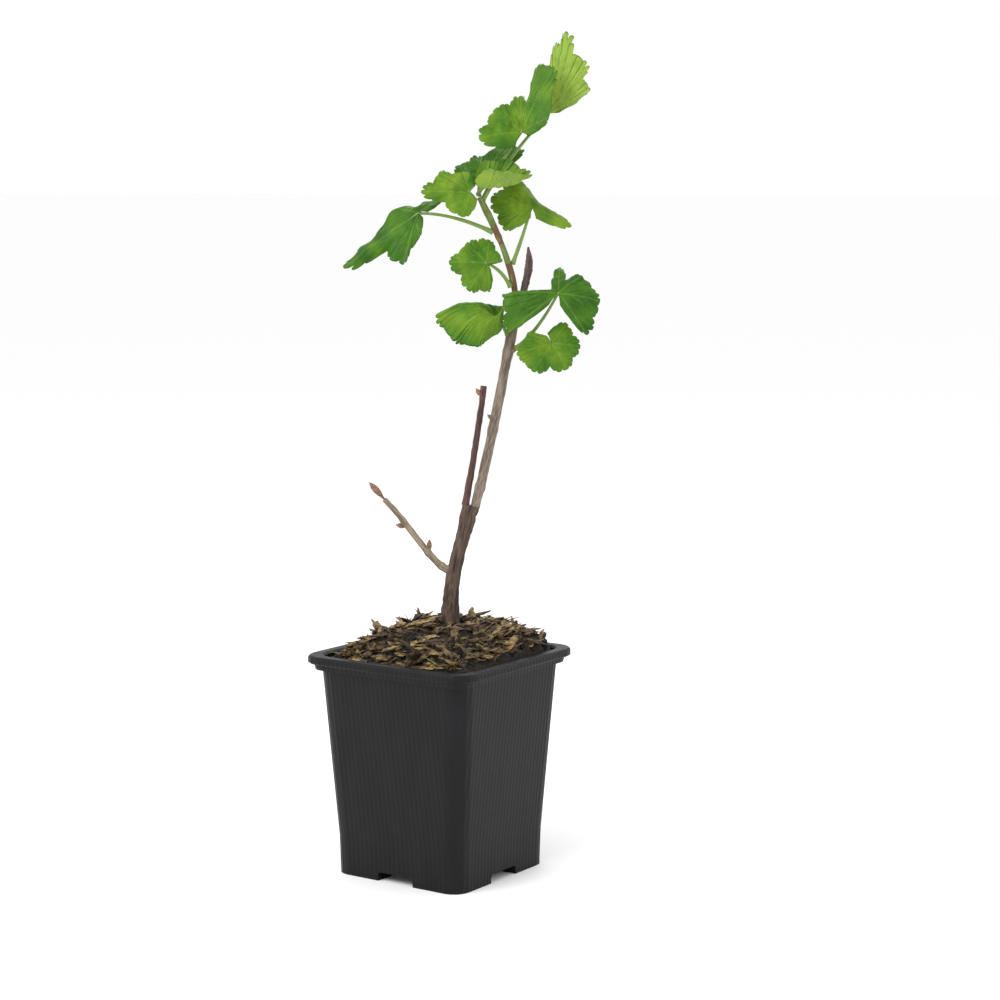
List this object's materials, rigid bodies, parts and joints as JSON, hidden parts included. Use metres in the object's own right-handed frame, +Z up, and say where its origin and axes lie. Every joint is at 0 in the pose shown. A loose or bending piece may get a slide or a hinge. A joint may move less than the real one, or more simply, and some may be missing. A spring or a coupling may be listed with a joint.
{
  "type": "potted jostaberry",
  "caption": "Young fruit bush with lobed leaves on a slender stem, growing in a square tapered nursery pot.",
  "frame": {"origin": "centre of the bounding box's underside, on the ground the pot's feet stand on", "axes": "+Z up, along the plant's height; X and Y along the pot's walls"},
  "size_m": [0.1078, 0.09, 0.3729],
  "materials": {
    "pot": "black moulded, fine upright ribs",
    "potting_mix": "loose dark compost with bark chips",
    "trunk": "rough brown bark",
    "leader": "smooth grey-tan bark",
    "cut_stub": "reddish-brown bark",
    "side_twig": "pale grey-tan bark",
    "bud_spur": "dark brown bud scales",
    "new_shoot": "green shoot with brown patches",
    "foliage_top": "soft satin green leaves with fine veins",
    "foliage_crown": "soft satin green leaves with fine veins",
    "foliage_crown_left": "soft satin green leaves with fine veins",
    "foliage_far_left": "soft satin green leaves with fine veins",
    "foliage_right": "soft satin green leaves with fine veins",
    "foliage_fork_left": "soft satin green leaves with fine veins",
    "foliage_low_left": "soft satin green leaves with fine veins",
    "foliage_low_right": "soft satin green leaves with fine veins"
  },
  "bodies": {
    "root": {"pot": "pot", "potting_mix": "potting_mix", "trunk": "trunk", "leader": "leader", "cut_stub": "cut_stub", "side_twig": "side_twig", "bud_spur": "bud_spur", "new_shoot": "new_shoot", "foliage_top": "foliage_top", "foliage_crown": "foliage_crown", "foliage_crown_left": "foliage_crown_left", "foliage_far_left": "foliage_far_left", "foliage_right": "foliage_right", "foliage_fork_left": "foliage_fork_left", "foliage_low_left": "foliage_low_left", "foliage_low_right": "foliage_low_right"}
  },
  "joints": []
}
